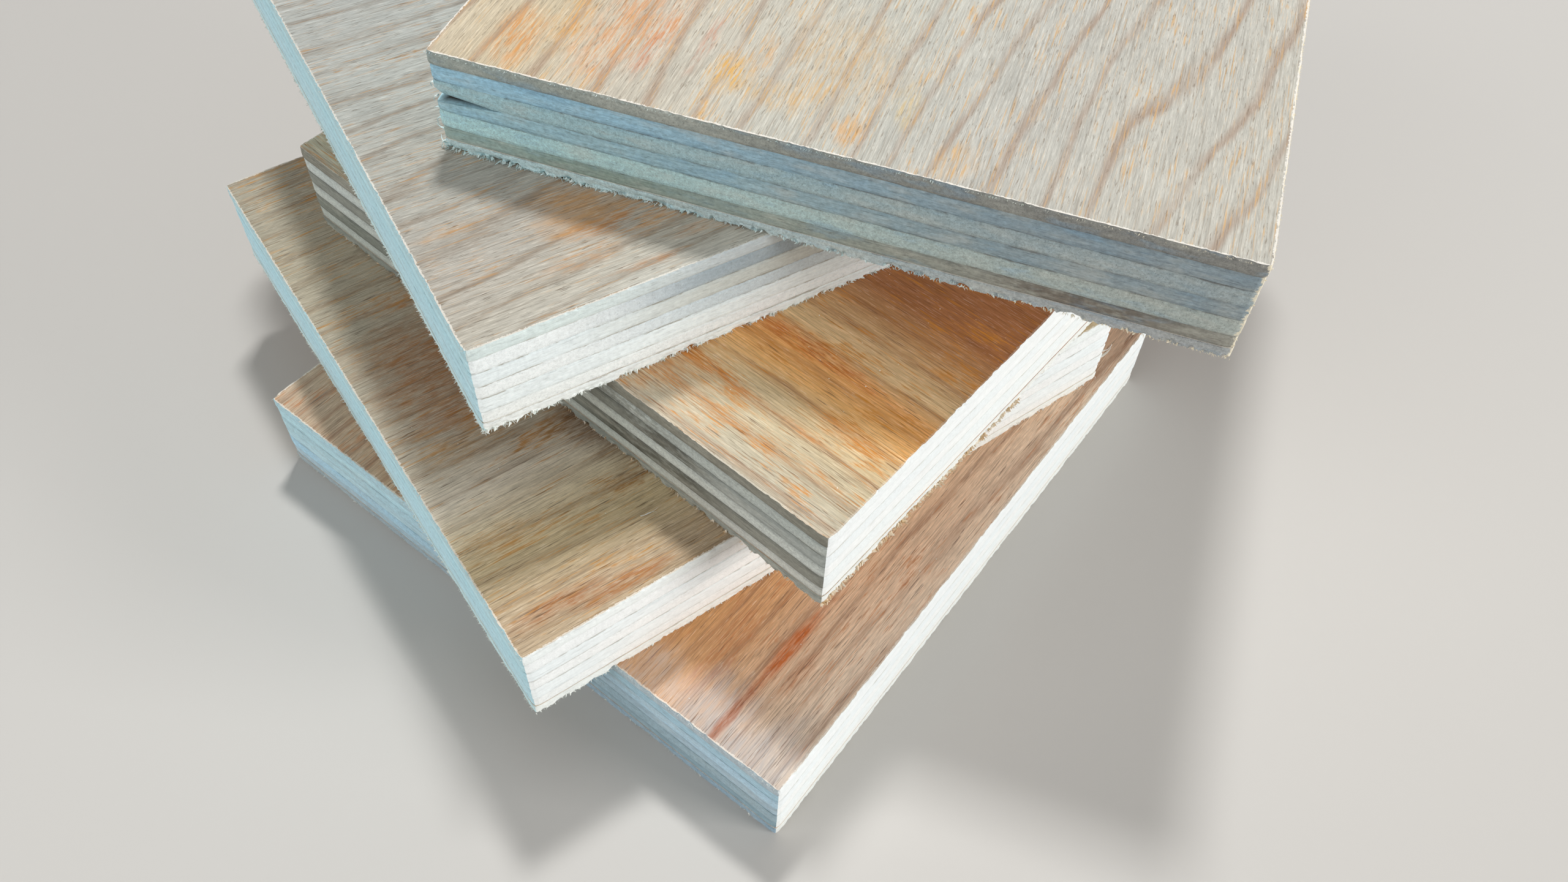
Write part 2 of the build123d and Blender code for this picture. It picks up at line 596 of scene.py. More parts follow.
class VeneerShader(SheetShader):
    """The material of one ply, painted by the numbers of its finish."""

    def __init__(self, ply: "Ply", finish: VeneerFinish) -> None:
        """Find the ply's fibres and pores, and how far each point lies inside the sawn sides."""
        sheet = ply.sheet
        super().__init__(f"rotary_cut_veneer_{ply.node}", sheet, ply.grain, hash_shift(sheet.name + ply.name))
        self.ply, self.finish = ply, finish
        self.fibres = self.noise(finish.fibres)
        self.fine = self.noise(finish.fine_fibres)
        self.pores = self.noise(streak(finish.pore_mm, sheet.face.pore_length_mm, finish.pore_shift,
                                       finish.pore_step))
        reach_x = self.minus(sheet.length_mm / 2, self.math("ABSOLUTE", self.axes[0]))
        reach_y = self.minus(sheet.width_mm / 2, self.math("ABSOLUTE", self.axes[1]))
        self.on_x_side = self.math("LESS_THAN", reach_x, reach_y)
        self.inward = self.math("MINIMUM", reach_x, reach_y)

    def build(self) -> bpy.types.Material:
        """Colour the sawn sides and the flat faces, press the relief in, and return the material."""
        finish = self.finish
        colour = self.glue_lines(self.edge_colour())
        if self.ply.outer:
            upright = self.add("SeparateXYZ", {0: self.normal}).outputs[2]
            on_flat = self.step(self.math("ABSOLUTE", upright), finish.flat_step)
            colour = self.over(colour, self.frayed_arris_highlight(self.face_colour()), on_flat)
        else:
            # Painted shade deep inside the inner plies, where the void shows it.
            colour = self.over(colour, finish.void_shade_colour, self.step(self.inward, finish.void_shade_step))
        height = self.affine(self.fibres, finish.fibre_relief, self.noise(finish.saw_marks))
        height = self.affine(self.pores, finish.pore_relief, height)
        bump = self.add("Bump", {"Height": height, "Strength": finish.relief_strength,
                                 "Distance": finish.relief_mm * MM})
        return self.coat({"Base Color": colour, "Normal": bump.outputs[0], "Roughness": finish.roughness,
                          "IOR": WOOD_IOR})

    def by_side(self, right: float, left: float) -> Any:
        """Return one value on the sides that face along X and another on those along Y."""
        return self.affine(self.on_x_side, right - left, left)

    def edge_colour(self) -> Any:
        """Return the colour of the sawn sides: each side's tone, which holds painted light, streaked by the fibres."""
        sheet, finish, (x, y) = self.sheet, self.finish, self.axes[:2]
        right = self.cut_tone(sheet.right, self.affine(y, 1 / sheet.width_mm, 0.5))
        left = self.cut_tone(sheet.left, self.affine(x, 1 / sheet.length_mm, 0.5))
        far = FAR_CUT.tones[self.ply.order]
        x_sides = self.over(far, right, self.math("GREATER_THAN", x, 0.0))
        y_sides = self.over(far, left, self.math("LESS_THAN", y, 0.0))
        colour = self.over(y_sides, x_sides, self.on_x_side)
        broad, depth = self.noise(finish.broad), self.by_side(sheet.right.streaks, sheet.left.streaks)
        colour = self.over(colour, finish.dry_colour, self.step(broad, finish.dry_step),
                           self.math("POWER", depth, 2.0))
        # Painted blue cast of shade, in broad patches, on the sides along X.
        colour = self.over(colour, sheet.right.tint, self.step(broad, finish.tint_step),
                           sheet.right.tint_strength, self.on_x_side)
        swung = self.swing((self.fibres, 1.0), (self.fine, 1.0), (self.noise(finish.torn), 1.9), (broad, 0.6))
        ease = self.affine(self.minus(swung, 1.0), depth, 1.0)
        dark = self.affine(self.times(self.pores, depth), finish.pore_darkness, 1.0)
        colour = self.tone(colour, self.times(ease, dark))
        if not sheet.corner_fray:
            return colour
        frayed = self.times(self.noise(finish.fray), finish.fray_mm)
        near = self.minus(frayed, self.minus(sheet.width_mm / 2, y))
        return self.over(colour, sheet.far_fibre_tone, self.step(near, finish.fray_step), sheet.corner_fray)

    def cut_tone(self, look: CutLook, share: Any) -> Any:
        """Return the ply's tone along one sawn side, with its fade and its dark patches.

        Args:
            look: how that side looks.
            share: how far along the side the point lies, from 0 to 1.

        Returns:
            The colour.
        """
        order, colour = self.ply.order, look.tones[self.ply.order]
        if look.far_tones:
            colour = self.over(colour, look.far_tones[order], self.step(share, look.fade))
        for stain in look.stains:
            if stain.order == order:
                ragged = Pattern((0.5, 0.5, 1.3), stain.start * 40, 4.0, 0.65, True, self.finish.stain_step)
                colour = self.over(colour, stain.colour,
                                   self.step(share, (stain.start - 0.04, stain.start + 0.05)),
                                   self.step(share, (stain.end + 0.06, stain.end - 0.04)),
                                   self.noise(ragged), stain.strength)
        return colour

    def glue_lines(self, colour: Any) -> Any:
        """Darken the edge where the ply meets its neighbours, in a broken line of cured glue."""
        ply, finish, right, left = self.ply, self.finish, self.sheet.right, self.sheet.left
        reach = self.affine(self.noise(finish.glue_waver), finish.glue_line_mm * 2.4, -finish.glue_line_mm * 0.5)
        gaps = []
        if ply.outer is not Level.FACE:
            gaps.append(self.minus(ply.high_mm, self.axes[2]))
        if ply.outer is not Level.UNDERSIDE:
            gaps.append(self.minus(self.axes[2], ply.low_mm))
        gap = gaps[0] if len(gaps) == 1 else self.math("MINIMUM", *gaps)
        soaked = self.times(self.step(gap, finish.soak_step), self.by_side(right.soaked, left.soaked))
        colour = self.tone(colour, self.minus(1.0, soaked))
        return self.over(colour, self.over(left.glue, right.glue, self.on_x_side),
                         self.step(self.minus(reach, gap), finish.glue_step),
                         self.noise(finish.glue_spots),
                         self.by_side(right.glue_strength, left.glue_strength))

    def face_colour(self) -> Any:
        """Return the colour of a flat face: zones, growth bands, amber, fibres and pores."""
        look, finish = self.sheet.face, self.finish
        along, across, width = self.axes[0], self.axes[1], self.sheet.width_mm
        if self.grain is Grain.ALONG_Y:
            along, across, width = self.axes[1], self.axes[0], self.sheet.length_mm
        ring = self.growth(along, across, width)
        colour = self.ramp(self.math("MULTIPLY_ADD", ring, 1 / width, 0.5, clamp=True), look.zones)
        blotch = self.noise(finish.blotches)
        colour = self.tone(colour, self.swing((blotch, 0.35), (self.fibres, 0.65), (self.fine, 0.75)))
        phase = self.math("FRACT", self.math("DIVIDE", ring, look.spacing_mm))
        peak = look.band_start + (1 - look.band_start) * finish.late_rise
        late = self.times(self.step(phase, (look.band_start, peak)),
                          self.step(phase, (peak + finish.late_fall, peak)))
        kept = self.affine(self.noise(finish.uneven), 0.5, 0.5)
        colour = self.over(colour, look.band, late, kept, look.band_strength)
        fleck = self.affine(self.noise(finish.flecks), 1 - finish.least_fleck, finish.least_fleck)
        low = finish.amber_start - look.amber_share * 0.5
        colour = self.over(colour, look.amber, self.step(blotch, (low, low + 0.10)), fleck, finish.amber_strength)
        where = self.math("MAXIMUM", self.step(blotch, finish.blotch_step), self.times(late, 0.9))
        colour = self.over(colour, look.amber, self.noise(finish.amber_lines), where, look.amber_share * 2.0)
        if self.ply.outer is Level.FACE:
            colour = self.patched(colour, blotch, fleck)
        pale = self.step(self.fine, finish.pale_step)
        colour = self.over(colour, finish.pale_fibre, pale, look.streaks * finish.pale_strength)
        hairs = self.times(self.noise(finish.hairlines), look.hairlines)
        return self.over(colour, look.pore, self.math("MAXIMUM", self.pores, hairs), look.streaks)

    def growth(self, along: Any, across: Any, width: float) -> Any:
        """Return the distance across the growth rings, bent as the knife met them.

        Args:
            along: the place along the grain, in millimetres.
            across: the place across the grain, in millimetres.
            width: the size of the sheet across the grain.

        Returns:
            The distance in millimetres.
        """
        look, finish = self.sheet.face, self.finish
        lean = self.times(self.step(across, (-width * 0.25, width * 0.45)), look.slant)
        drift = self.affine(self.noise(finish.ring_sweep), look.wander_mm * 4, -look.wander_mm * 2)
        jitter = self.affine(self.noise(finish.ring_jitter), finish.jitter_mm, -finish.jitter_mm / 2)
        return self.math("ADD", self.affine(along, lean, across), self.math("ADD", drift, jitter))

    def patched(self, colour: Any, blotch: Any, fleck: Any) -> Any:
        """Lay the placed patches over the face: resin, knots and stain, and one painted shadow on the fourth sheet,
        ragged along the fibres.
        """
        raggedness = self.finish.patch_raggedness
        for patch in self.sheet.face.patches:
            around = self.mapped(self.place, (patch.x, patch.y, 0.0), (patch.reach_x, patch.reach_y, 1000.0))
            away = self.add("VectorMath", {0: around}, operation="LENGTH").outputs["Value"]
            ragged = self.affine(blotch, -raggedness, self.math("ADD", away, raggedness / 2))
            shown = self.affine(fleck, 1.0 - patch.solid, patch.solid)
            colour = self.over(colour, patch.colour, self.step(ragged, self.finish.patch_step), shown,
                               patch.strength)
        return colour

    def frayed_arris_highlight(self, colour: Any) -> Any:
        """Whiten the very edge of the face: its frayed fibres, paler, with a painted highlight along the arris."""
        frayed = self.times(self.noise(self.finish.arris_fray), self.finish.arris_mm * 2)
        return self.over(colour, self.finish.arris_highlight_colour, self.math("LESS_THAN", self.inward, frayed),
                         self.sheet.arris)


@dataclass
class Ply:
    """One veneer of a sheet as a sawn piece with an uneven edge."""

    sheet: Sheet
    name: str
    order: int
    grain: Grain
    slot: str
    outer: Level | None
    pitch_mm: float
    recess_mm: float
    rows: int = 5
    groove_mm: float = 0.09
    waver_mm: float = 0.05
    corner_mm: float = 0.22
    corner_reach_mm: float = 1.2
    face_chip_mm: float = 0.16
    low_mm: float = field(init=False)
    high_mm: float = field(init=False)

    def __post_init__(self) -> None:
        """Read the heights of the ply from the fixed frame."""
        low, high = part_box(self.node)
        self.low_mm, self.high_mm = low[2] / MM, high[2] / MM

    @property
    def node(self) -> str:
        """The CAD node that this ply replaces."""
        return f"{self.sheet.name}_{self.name}"

    def build(self) -> bpy.types.Object:
        """Build the ply's mesh, dress it and let it stand for its CAD node."""
        mesh = bmesh.new()
        self.saw_out(mesh)
        self.roughen(mesh)
        self.close(mesh)
        bmesh.ops.transform(mesh, matrix=self.sheet.to_world(), verts=mesh.verts)
        bmesh.ops.recalc_face_normals(mesh, faces=mesh.faces)
        piece = stand(mesh, f"{self.node}_sawn")
        if self.node == VOID_NODE:
            self.cut_void(piece)
        piece.data.materials.append(VeneerShader(self, VeneerFinish()).build())
        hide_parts(self.node)
        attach(piece, BODY)
        return piece

    def saw_out(self, mesh: BMesh) -> None:
        """Make the four sawn sides, divided finely along each side and in rows up the ply."""
        size = (self.sheet.length_mm, self.sheet.width_mm, self.high_mm - self.low_mm)
        middle = Matrix.Translation((0, 0, (self.low_mm + self.high_mm) / 2))
        bmesh.ops.create_cube(mesh, size=1.0, matrix=middle @ Matrix.Diagonal((*size, 1.0)))
        caps = [face for face in mesh.faces if all(rise(edge) < TOUCHING_MM for edge in face.edges)]
        bmesh.ops.delete(mesh, geom=caps, context="FACES_ONLY")
        upright = [edge for edge in mesh.edges if rise(edge) > TOUCHING_MM]
        bmesh.ops.subdivide_edges(mesh, edges=upright, cuts=self.rows, use_grid_fill=True)
        level = [edge for edge in mesh.edges if rise(edge) < TOUCHING_MM]
        cuts = int(self.sheet.length_mm / self.pitch_mm)
        bmesh.ops.subdivide_edges(mesh, edges=level, cuts=cuts, use_grid_fill=True)

    def roughen(self, mesh: BMesh) -> None:
        """Press every point of the sides inwards: recess, glue groove, waver and chipped arris."""
        half_x, half_y = self.sheet.length_mm / 2, self.sheet.width_mm / 2
        seed = hash_shift(self.node)
        for vertex in mesh.verts:
            x, y, z = vertex.co
            share = (z - self.low_mm) / (self.high_mm - self.low_mm)
            place = Vector((x, y, z + seed))
            waver = 0.6 + 0.5 * noise.noise(place * 0.12) + 0.5 * noise.noise(place * 1.1)
            groove = max(0.0, abs(share - 0.5) * 2 - 0.75) / 0.25
            from_x, from_y = half_x - abs(x), half_y - abs(y)
            corner = max(0.0, 1.0 - (from_x + from_y) / self.corner_reach_mm)
            depth = (self.recess_mm + self.waver_mm * waver + self.groove_mm * groove + self.chip(place, share)
                     + self.void_lip(x, y, share) + self.corner_mm * corner)
            if from_x < TOUCHING_MM:
                vertex.co.x -= math.copysign(depth, x)
            if from_y < TOUCHING_MM:
                vertex.co.y -= math.copysign(depth, y)

    def chip(self, place: Vector, share: float) -> float:
        """Return how far the arris of an outer ply is chipped away at this point, in millimetres."""
        if self.outer is None:
            return 0.0
        near = share if self.outer is Level.FACE else 1.0 - share
        jagged = noise.noise(place * 0.55) + 0.9 * noise.noise(place * 1.7) + 0.5 * noise.noise(place * 4.1)
        amount = self.face_chip_mm if self.outer is Level.FACE else self.sheet.tear_mm
        return amount * max(0.0, jagged + 0.25) * max(0.0, near - 0.35) / 0.65

    def void_lip(self, x: float, y: float, share: float) -> float:
        """Return how far the ply over the void is broken back at this point, in millimetres."""
        if self.node != VOID_LIP_NODE or x < 0:
            return 0.0
        from_corner = (y + self.sheet.width_mm / 2) / VOID_LIP_MM
        return VOID_LIP_DEPTH_MM * max(0.0, 1.0 - from_corner) * max(0.0, 1.0 - share / VOID_LIP_SHARE)

    def close(self, mesh: BMesh) -> None:
        """Close the upper and lower side of the ply with one flat face each."""
        for height in (self.low_mm, self.high_mm):
            rim = [edge for edge in mesh.edges if edge.is_boundary
                   and all(abs(vertex.co.z - height) < TOUCHING_MM for vertex in edge.verts)]
            bmesh.ops.edgeloop_fill(mesh, edges=rim)

    def cut_void(self, piece: bpy.types.Object, along_mm: float = 10.0, down_mm: float = 1.0,
                 back_mm: float = 12.0) -> None:
        """Cut the wedge at the ply's front left corner, where the core veneer ends short.

        Args:
            piece: the ply's object.
            along_mm: how far the gap runs along the front side.
            down_mm: how high it is at the corner.
            back_mm: how far it runs back along the left side.
        """
        slope = math.atan2(down_mm, along_mm)
        spare_mm, height_mm = 5.0, 3.0
        run_mm = math.hypot(along_mm, down_mm) + spare_mm
        end = Vector((self.sheet.length_mm / 2 - back_mm, along_mm - self.sheet.width_mm / 2, self.high_mm))
        middle = Vector(((back_mm + spare_mm) / 2, -run_mm / 2, height_mm / 2))
        lie = Matrix.Translation(end) @ Matrix.Rotation(slope, 4, "X") @ Matrix.Translation(middle)
        mesh = bmesh.new()
        bmesh.ops.create_cube(mesh, size=1.0, matrix=self.sheet.to_world() @ lie
                              @ Matrix.Diagonal((back_mm + spare_mm, run_mm, height_mm, 1.0)))
        bmesh.ops.recalc_face_normals(mesh, faces=mesh.faces)
        wedge = stand(mesh, "void_wedge")
        cut = piece.modifiers.new("void", "BOOLEAN")
        cut.object = wedge
        cut.operation = "DIFFERENCE"
        cut.solver = "EXACT"
        piece.data = bpy.data.meshes.new_from_object(piece.evaluated_get(bpy.context.evaluated_depsgraph_get()))
        piece.modifiers.clear()
        bpy.data.objects.remove(wedge)


@dataclass
class TornFibres:
    """What the saw tore out of a sheet, as one piece: thin fibres, curled splinters and dust."""

    sheet: Sheet
    root_mm: float = 0.22
    taper: float = 0.15
    steps: int = 10
    thinning: float = 0.84
    roughness: float = 0.9

    def build(self) -> bpy.types.Object:
        """Build every fringe, splinter and crumb of the sheet."""
        draw = random.Random(self.sheet.name)
        mesh = bmesh.new()
        for fringe in self.sheet.fringes:
            self.grow(mesh, fringe, draw)
        for sliver in self.sheet.slivers:
            self.curl(mesh, sliver)
        if self.sheet.crumbs:
            self.scatter(mesh, self.sheet.crumbs, draw)
        bmesh.ops.recalc_face_normals(mesh, faces=mesh.faces)
        bmesh.ops.transform(mesh, matrix=self.sheet.to_world(), verts=mesh.verts)
        piece = stand(mesh, f"{self.sheet.name}_torn_fibres")
        piece.data.materials.append(self.material())
        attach(piece, BODY)
        return piece

    def grow(self, mesh: BMesh, fringe: Fringe, draw: random.Random) -> None:
        """Grow one fringe of fibres, rooted in the side and pointing outwards."""
        sheet = self.sheet
        out = Vector((*fringe.side.value, 0))
        way = Vector((-out.y, out.x, 0))
        half_out = sheet.length_mm / 2 if out.x else sheet.width_mm / 2
        run = sheet.width_mm if out.x else sheet.length_mm
        for _ in range(int(fringe.per_mm * run * (fringe.end - fringe.start))):
            at = (draw.uniform(fringe.start, fringe.end) - 0.5) * run
            clump = 0.35 + 0.65 * max(0.0, 0.5 + noise.noise(Vector((at * 0.7, sheet.turn, out.x))))
            length = draw.uniform(*fringe.length_mm) * draw.uniform(0.4, 1.0) * clump
            radius = fringe.radius_mm * draw.uniform(0.6, 1.5)
            height = sheet.top_mm - draw.uniform(0.12, 0.30)
            if fringe.level is Level.UNDERSIDE:
                height = sheet.bottom_mm + draw.uniform(0.06, 0.5)
            root = out * (half_out - self.root_mm) + way * at + Vector((0, 0, height))
            lean = out + way * draw.uniform(-0.9, 0.9) + Vector((0, 0, -fringe.drop * draw.uniform(0, 1)))
            heading = lean.normalized()
            reach = length + self.root_mm
            tip = root + heading * reach
            lowest = sheet.bottom_mm + 0.02
            if tip.z < lowest:
                heading.z = (lowest - root.z) / reach
                heading.normalize()
                tip = root + heading * reach
            if self.inside_box(tip, radius):
                middle = Matrix.Translation(root + heading * reach / 2) @ facing(heading)
                bmesh.ops.create_cone(mesh, cap_ends=True, segments=3, radius1=radius,
                                      radius2=radius * self.taper, depth=reach, matrix=middle)

    def inside_box(self, point: Vector, margin_mm: float) -> bool:
        """Tell whether a point of the sheet, with a margin round it, lies inside the CAD box."""
        margin = (margin_mm + 0.05) * MM
        place = self.sheet.to_world() @ point
        return all(low + margin < value < high - margin for value, low, high in zip(place, *CAD_BOX))

    def curl(self, mesh: BMesh, sliver: Sliver) -> None:
        """Draw one splinter out step by step, bending and thinning it on the way."""
        heading = Vector(sliver.heading).normalized()
        centre = Vector(sliver.root) + Vector((0, 0, self.sheet.bottom_mm))
        length = sliver.length_mm
        while length > 0.2 and not self.inside_box(centre + heading * length, sliver.radius_mm * 0.6):
            length -= 0.1
        start = Matrix.Translation(centre) @ facing(heading) @ Matrix.Diagonal((1.0, 0.5, 1.0, 1.0))
        ring = bmesh.ops.create_circle(mesh, cap_ends=True, segments=6, radius=sliver.radius_mm, matrix=start)
        cap = ring["verts"][0].link_faces[0]
        turn = Matrix.Rotation(math.radians(sliver.bend / self.steps), 3, Vector(sliver.axis).normalized())
        for _ in range(self.steps):
            grown = bmesh.ops.extrude_face_region(mesh, geom=[cap])["geom"]
            cap = next(item for item in grown if isinstance(item, BMFace))
            tip = [item for item in grown if isinstance(item, BMVert)]
            heading = turn @ heading
            step = heading * (length / self.steps)
            centre = centre + step
            bmesh.ops.translate(mesh, verts=tip, vec=step)
            bmesh.ops.rotate(mesh, verts=tip, cent=centre, matrix=turn)
            bmesh.ops.scale(mesh, verts=tip, vec=(self.thinning,) * 3, space=Matrix.Translation(-centre))

    def scatter(self, mesh: BMesh, crumbs: Crumbs, draw: random.Random) -> None:
        """Scatter flat angular crumbs of saw dust on the face."""
        for _ in range(crumbs.count):
            radius = crumbs.largest_mm * draw.uniform(0.4, 1.0)
            spot = (draw.uniform(crumbs.low[0], crumbs.high[0]), draw.uniform(crumbs.low[1], crumbs.high[1]),
                    self.sheet.top_mm + radius * 0.2)
            turned = Matrix.Rotation(draw.uniform(0, math.tau), 4, "Z")
            shape = Matrix.Diagonal((1.0, draw.uniform(0.35, 0.9), 0.5, 1.0))
            bmesh.ops.create_icosphere(mesh, subdivisions=1, radius=radius,
                                       matrix=Matrix.Translation(spot) @ turned @ shape)

    def material(self) -> bpy.types.Material:
        """Make the finish of torn fibres: paler than the face, dull, slightly mottled."""
        shader = SheetShader(f"torn_wood_fibre_{self.sheet.name}", self.sheet)
        spots = shader.noise(Pattern((1.3, 1.3, 1.3), roughness=0.5, shared=True, ends=(0.35, 0.65)))
        colour = shader.over(*self.sheet.fibre_tones, spots)
        colour = shader.over(colour, self.sheet.far_fibre_tone, shader.step(shader.axes[1], (10.0, 40.0)))
        return shader.coat({"Base Color": colour, "Roughness": self.roughness, "IOR": WOOD_IOR})


@dataclass
class PlywoodStack:
    """The whole stack: five sheets, each of seven plies with its torn fibres."""

    sheets: list[Sheet]

    def build(self) -> None:
        """Build every ply and fringe, and log what each sheet came to."""
        for sheet in self.sheets:
            for order, (name, recess) in enumerate(LAY_UP.items()):
                crossed = order % 2 == 1
                grain = sheet.face_grain.crossed() if crossed else sheet.face_grain
                outer = {0: Level.FACE, len(LAY_UP) - 1: Level.UNDERSIDE}.get(order)
                slot = "crossband_wood" if crossed else "face_wood" if outer else "core_wood"
                pitch = OUTER_PITCH_MM if outer else INNER_PITCH_MM
                piece = Ply(sheet, name, order, grain, slot, outer, pitch_mm=pitch, recess_mm=recess).build()
                LOG.info("%s: %d faces", piece.name, len(piece.data.polygons))
            fibres = TornFibres(sheet).build()
            LOG.info("%s: %d faces", fibres.name, len(fibres.data.polygons))


@dataclass(frozen=True)
class Lamp:
    """A soft square lamp aimed at the middle of the stack."""

    name: str
    towards: tuple[float, float, float]
    distance_m: float
    size_m: float
    level: float

    def build(self, target: Vector) -> None:
        """Hang the lamp; its level is how bright it makes a white surface that faces it."""
        data = bpy.data.lights.new(self.name, "AREA")
        data.size = self.size_m
        data.energy = self.level * math.pi ** 2 * self.distance_m ** 2
        way = Vector(self.towards).normalized()
        lamp = put(self.name, data)
        lamp.location = target + way * self.distance_m
        lamp.rotation_euler = way.to_track_quat("Z", "Y").to_euler()


@dataclass
class Studio:
    """The plain pale floor, soft lamps and the camera."""

    floor_colour: str = "#CBC8C3"
    floor_size_m: float = 12.0
    floor_roughness: float = 0.95
    world_level: float = 0.25
    lamps: tuple[Lamp, ...] = (Lamp("overhead_softbox", (-0.22, 0.31, 0.93), 0.9, 0.11, 0.63),
                               Lamp("side_window", (0.93, 0.30, 0.28), 2.0, 0.75, 0.70),
                               Lamp("front_fill", (-0.25, -0.85, 0.5), 1.2, 0.9, 0.37))

    def build(self) -> None:
        """Build the floor, the world, the lamps and the camera."""
        self.lay_floor()
        self.light_world()
        low, high = CAD_BOX
        for lamp in self.lamps:
            lamp.build((Vector(low) + Vector(high)) / 2)
        self.set_camera()

    def lay_floor(self) -> None:
        """Lay a large plain floor of matt paper under the stack."""
        mesh = bmesh.new()
        bmesh.ops.create_grid(mesh, x_segments=1, y_segments=1, size=self.floor_size_m / 2)
        floor = stand(mesh, "studio_floor")
        paper = Shader("matt_studio_paper")
        floor.data.materials.append(paper.coat({"Base Color": linear(self.floor_colour),
                                                "Roughness": self.floor_roughness}))

    def light_world(self) -> None:
        """Light the scene evenly from a pale world, shown without any film curve."""
        world = bpy.data.worlds.new("studio_world")
        world.use_nodes = True
        background = world.node_tree.nodes["Background"]
        background.inputs["Color"].default_value = linear(WHITE)
        background.inputs["Strength"].default_value = self.world_level
        bpy.context.scene.world = world
        bpy.context.scene.view_settings.view_transform = "Standard"

    def set_camera(self) -> None:
        """Set the camera where the photograph was taken from."""
        heading, dip, roll = (math.radians(angle) for angle in (CAMERA_HEADING, CAMERA_DIP, CAMERA_ROLL))
        ahead = Vector((math.cos(dip) * math.cos(heading), math.cos(dip) * math.sin(heading), -math.sin(dip)))
        level_right = Vector((math.sin(heading), -math.cos(heading), 0))
        level_up = level_right.cross(ahead)
        right = level_right * math.cos(roll) + level_up * math.sin(roll)
        upward = level_up * math.cos(roll) - level_right * math.sin(roll)
        data = bpy.data.cameras.new("camera")
        data.sensor_width = SENSOR_WIDTH_MM
        data.lens = FOCAL_LENGTH_PX / IMAGE_WIDTH_PX * SENSOR_WIDTH_MM
        data.shift_y = -AXIS_ABOVE_CENTRE_PX / IMAGE_WIDTH_PX
        data.clip_start = NEAREST_M
        camera = put("camera", data)
        turned = Matrix((right, upward, -ahead)).transposed().to_4x4()
        camera.matrix_world = Matrix.Translation(Vector(CAMERA_PLACE_MM) * MM) @ turned
        bpy.context.scene.camera = camera


def placed(*rows: tuple[Any, ...]) -> tuple[Patch, ...]:
    """Return a patch for each row: its middle, its reach, its colour, and how strong and solid it is."""
    return tuple(Patch(*row) for row in rows)


def arris_fuzz(*sides: Side, per_mm: float = 3.0) -> tuple[Fringe, ...]:
    """Return a short dense fuzz along the upper arris of these sides."""
    return tuple(Fringe(side, Level.FACE, 0.0, 1.0, per_mm, (0.06, 0.26), 0.035, 0.15) for side in sides)


def torn_edge(side: Side, start: float, end: float, per_mm: float, longest_mm: float,
              teeth_per_mm: float = 0.6, tooth_mm: float = 0.17) -> tuple[Fringe, ...]:
    """Return the ragged fibres under a stretch of one side: many fine ones and some broad teeth."""
    return (Fringe(side, Level.UNDERSIDE, start, end, per_mm, (0.15, longest_mm), 0.05, 0.5),
            Fringe(side, Level.UNDERSIDE, start, end, teeth_per_mm, (0.25, longest_mm), tooth_mm, 0.35))


RIGHT_CORNER_SLIVERS = tuple(
    Sliver((49.3, 49.3, height), (0.35, 1.0, lift), length, 0.36, bend, (1.0, 0.0, 0.2))
    for height, lift, length, bend in (
        (14.4, -0.6, 0.72, 50.0), (13.6, 0.4, 1.04, 60.0), (12.8, -0.5, 0.8, 40.0), (12.0, -0.2, 0.64, -50.0),
        (10.9, 0.5, 0.56, 60.0), (9.9, 0.2, 0.88, 80.0), (8.8, -0.4, 0.64, 40.0), (7.7, 0.4, 0.72, -70.0),
        (6.6, -0.3, 0.48, 60.0), (5.4, -0.1, 0.8, 60.0), (4.3, 0.5, 0.56, -40.0), (3.2, 0.2, 0.72, -60.0),
        (2.0, -0.4, 0.56, 50.0), (0.9, 0.3, 0.8, 60.0)))


